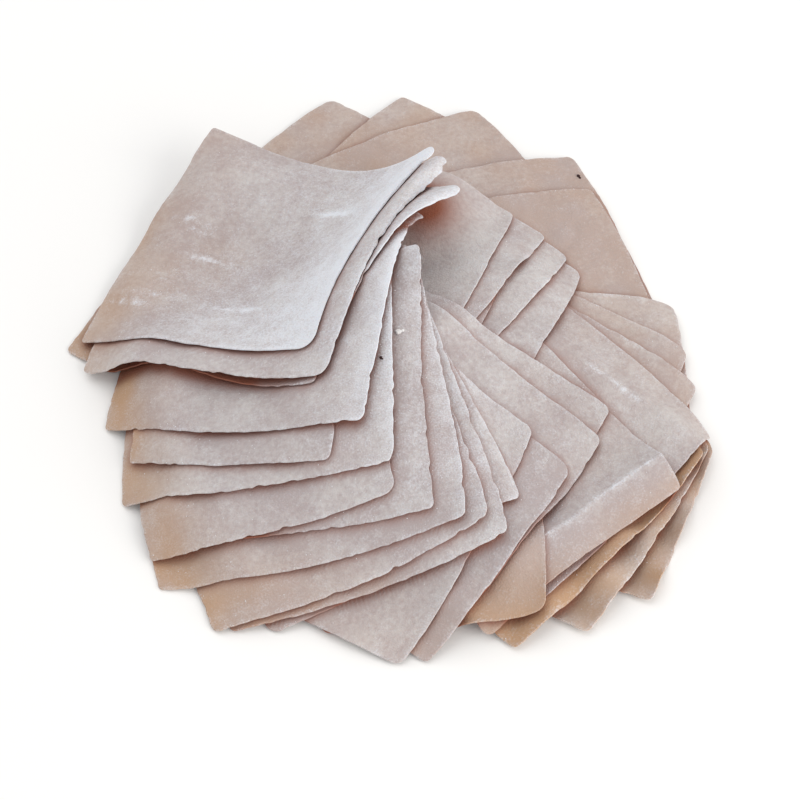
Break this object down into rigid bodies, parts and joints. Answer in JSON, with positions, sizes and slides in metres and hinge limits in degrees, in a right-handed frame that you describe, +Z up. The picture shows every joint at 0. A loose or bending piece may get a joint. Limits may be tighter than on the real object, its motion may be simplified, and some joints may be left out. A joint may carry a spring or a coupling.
{
  "type": "stack of dumpling wrappers",
  "caption": "Thin square sheets of floured dough, hand-laid in an overlapping spiral fan that rises to a low cone at the hub, ready to be filled and folded.",
  "frame": {"origin": "on the table, under the middle of the stack's bounding box", "axes": "+Z up from the table; the picture looks along +Y and down, so +X is its right"},
  "size_m": [0.21, 0.2324, 0.0449],
  "materials": {
    "dough": "matte, floured"
  },
  "bodies": {
    "root": {"back_wrapper_1": "dough", "back_wrapper_2": "dough", "back_wrapper_3": "dough", "back_wrapper_4": "dough", "back_wrapper_5": "dough", "front_wrapper_1": "dough", "front_wrapper_2": "dough", "front_wrapper_3": "dough", "front_wrapper_4": "dough", "front_wrapper_5": "dough", "inner_wrapper_1": "dough", "inner_wrapper_2": "dough", "inner_wrapper_3": "dough", "inner_wrapper_4": "dough", "inner_wrapper_5": "dough", "left_wrapper_1": "dough", "left_wrapper_2": "dough", "left_wrapper_3": "dough", "left_wrapper_4": "dough", "left_wrapper_5": "dough", "left_wrapper_6": "dough", "left_wrapper_7": "dough", "left_wrapper_8": "dough", "low_left_wrapper_1": "dough", "low_left_wrapper_2": "dough", "low_left_wrapper_3": "dough", "low_right_wrapper_1": "dough", "low_right_wrapper_2": "dough", "low_right_wrapper_3": "dough", "right_wrapper_1": "dough", "right_wrapper_2": "dough", "right_wrapper_3": "dough", "spread_wrapper_1": "dough", "spread_wrapper_2": "dough", "spread_wrapper_3": "dough", "top_wrapper_1": "dough", "top_wrapper_2": "dough", "top_wrapper_3": "dough", "top_wrapper_4": "dough"}
  },
  "joints": []
}
